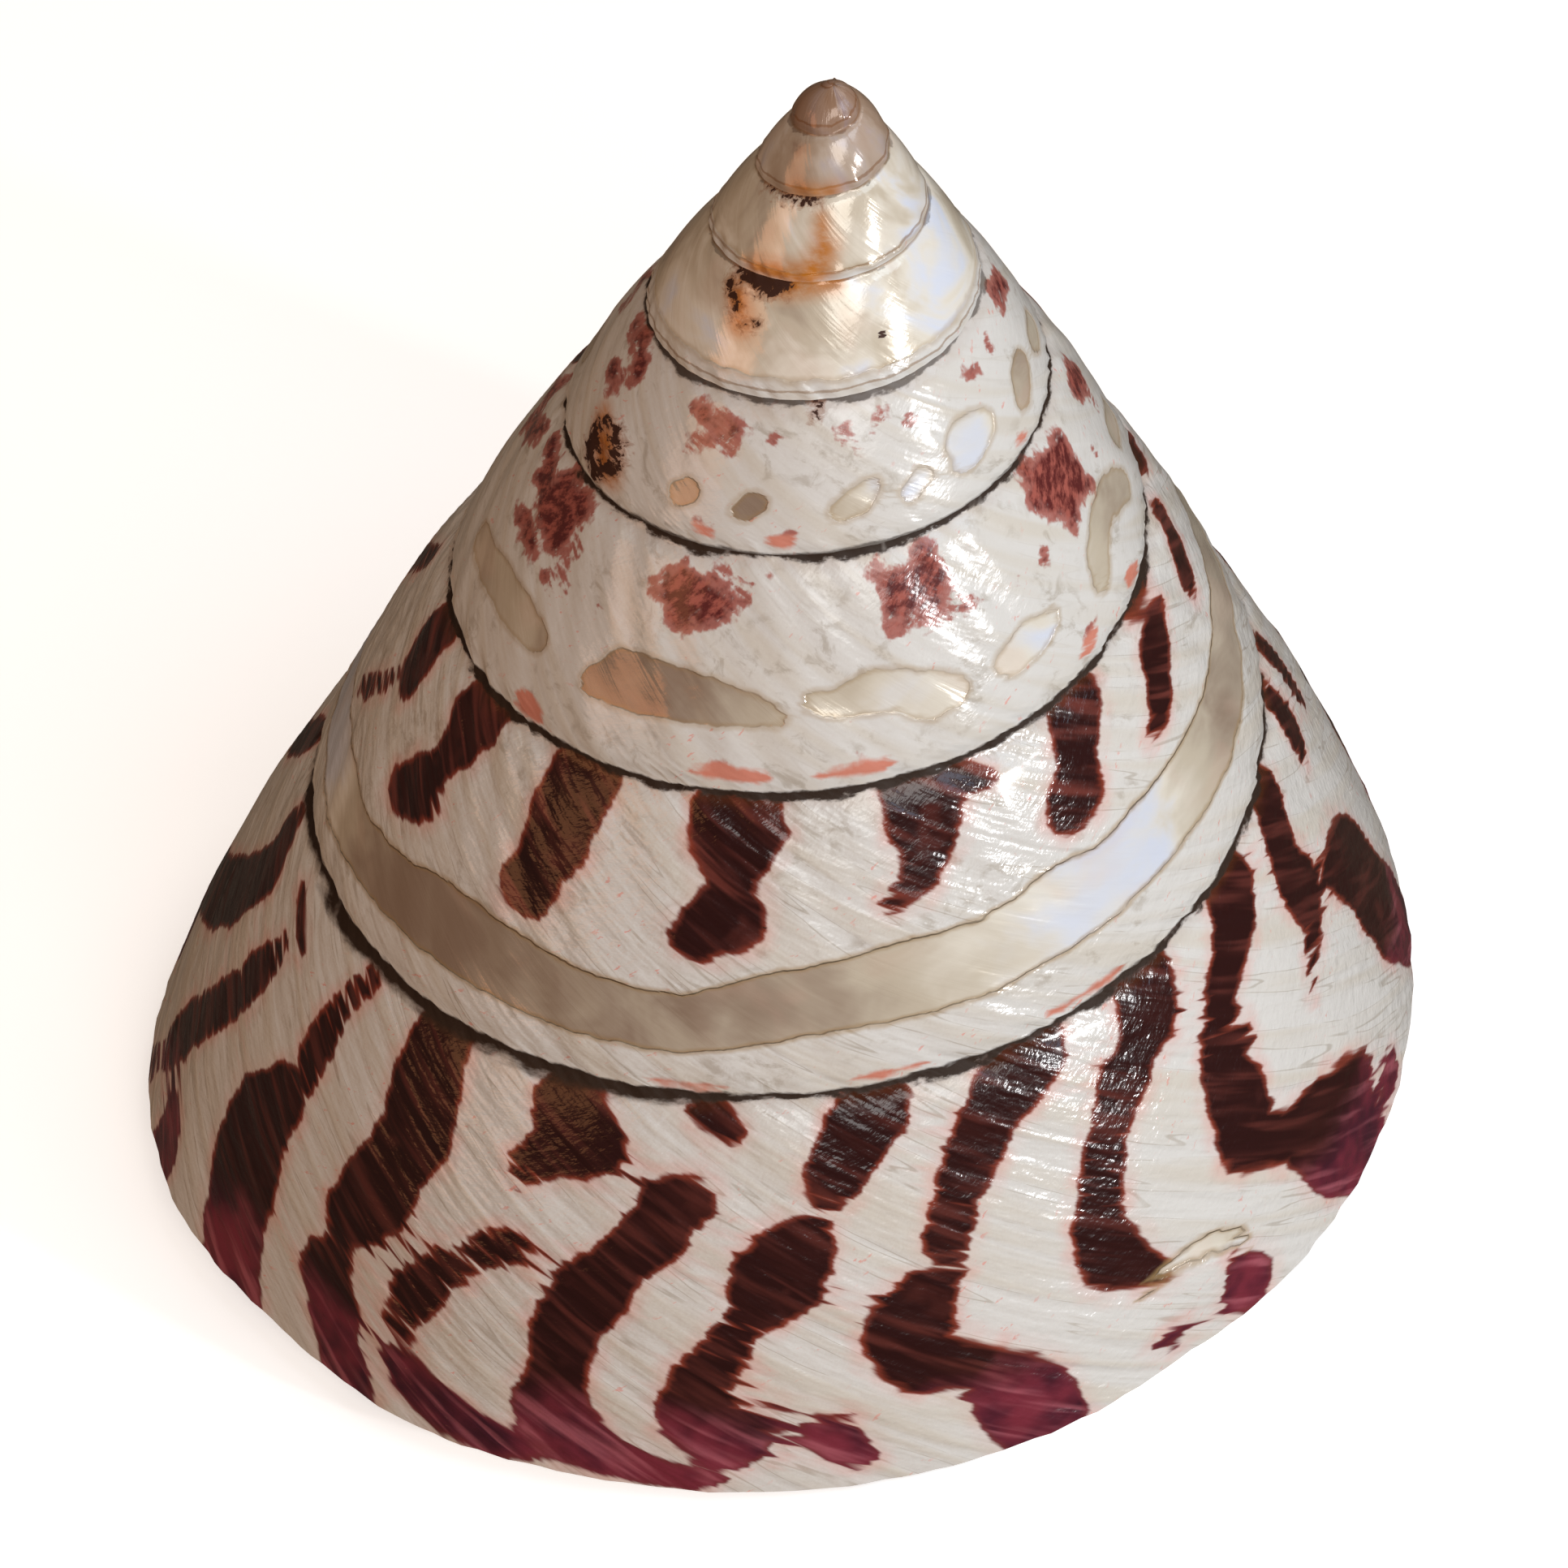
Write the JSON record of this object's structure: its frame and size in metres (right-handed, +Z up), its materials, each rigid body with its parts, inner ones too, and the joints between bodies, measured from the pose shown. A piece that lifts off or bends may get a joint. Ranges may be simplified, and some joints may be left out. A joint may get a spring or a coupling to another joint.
{
  "type": "top shell",
  "caption": "Polished right-handed top shell: a cone of spiral turns with dark flame markings, pearly worn patches, a low base and an open mouth.",
  "frame": {"origin": "middle of the bounding box, on the surface the shell stands on", "axes": "+Z is up in the shell's own resting pose, in which its axis leans 10.4 degrees; -Y is the side that the picture shows, and the turns run clockwise seen from above"},
  "size_m": [0.0922, 0.0908, 0.0859],
  "materials": {
    "polished_shell": "polished calcium carbonate shell with a pearly gloss"
  },
  "bodies": {
    "root": {"shell": "polished_shell"}
  },
  "joints": []
}
